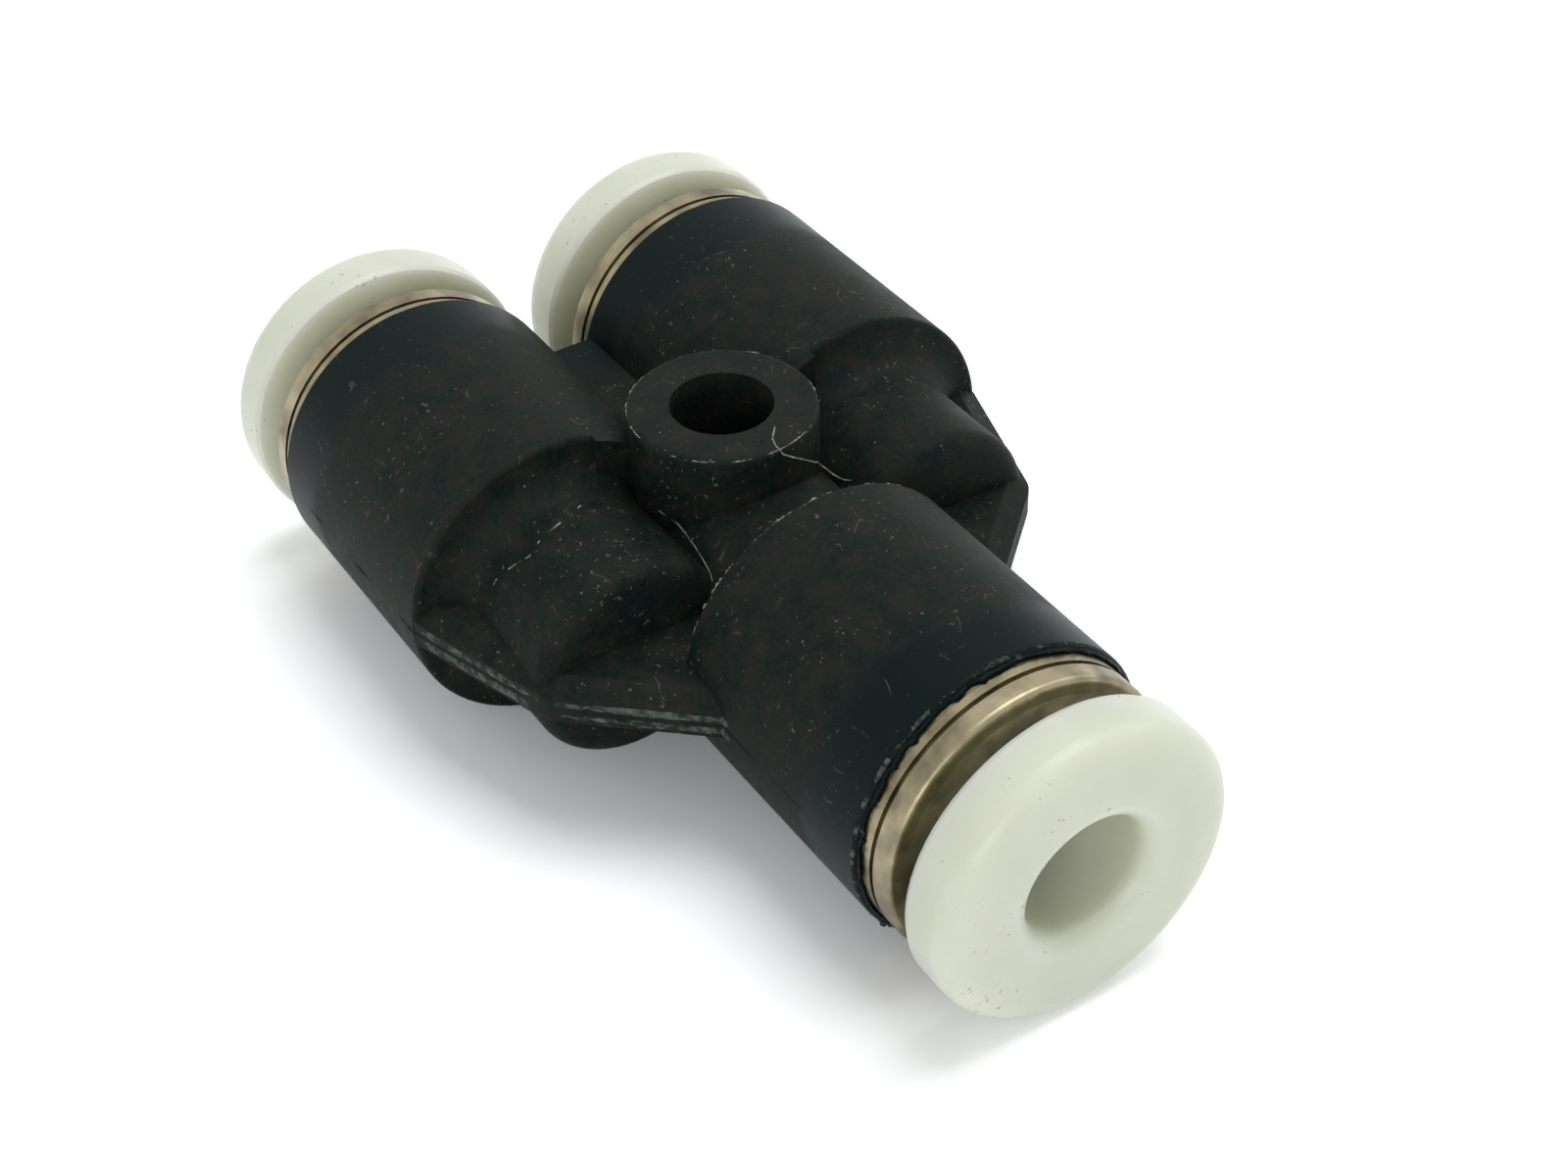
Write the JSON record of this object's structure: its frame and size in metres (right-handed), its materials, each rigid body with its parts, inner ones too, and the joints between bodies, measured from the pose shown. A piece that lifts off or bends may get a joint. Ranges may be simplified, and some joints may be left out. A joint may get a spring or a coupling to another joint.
{
  "type": "tubing y connector",
  "caption": "Push-in Y connector for small tubing: one port opposite a parallel pair, with press-to-release collars, plated guide rings and a boss with a mounting hole.",
  "frame": {"origin": "axis of the mounting hole, on the plane the part rests on", "axes": "+Z along the mounting hole, upwards; +Y from the single port towards the pair; +X across the pair"},
  "size_m": [0.022, 0.0348, 0.0104],
  "materials": {
    "body": "spark-eroded black",
    "button": "satin ivory",
    "ring": "nickel plated",
    "chuck": "bright stamped",
    "collet": "natural",
    "seal": "dull black"
  },
  "bodies": {
    "fitting": {"body": "body", "guide_ring_single": "ring", "guide_ring_twin_left": "ring", "guide_ring_twin_right": "ring", "chuck_single": "chuck", "chuck_twin_left": "chuck", "chuck_twin_right": "chuck", "collet_single": "collet", "collet_twin_left": "collet", "collet_twin_right": "collet", "seal_single": "seal", "seal_twin_left": "seal", "seal_twin_right": "seal"},
    "button_single": {"release_button_single": "button"},
    "button_twin_left": {"release_button_twin_left": "button"},
    "button_twin_right": {"release_button_twin_right": "button"}
  },
  "joints": [
    {"name": "single_release", "type": "slide", "parent": "fitting", "child": "button_single", "axis": [0, 1, 0], "range_m": [0, 0.001], "stiffness_N_per_m": 300},
    {"name": "twin_left_release", "type": "slide", "parent": "fitting", "child": "button_twin_left", "axis": [0, -1, 0], "range_m": [0, 0.001], "stiffness_N_per_m": 300},
    {"name": "twin_right_release", "type": "slide", "parent": "fitting", "child": "button_twin_right", "axis": [0, -1, 0], "range_m": [0, 0.001], "stiffness_N_per_m": 300}
  ]
}
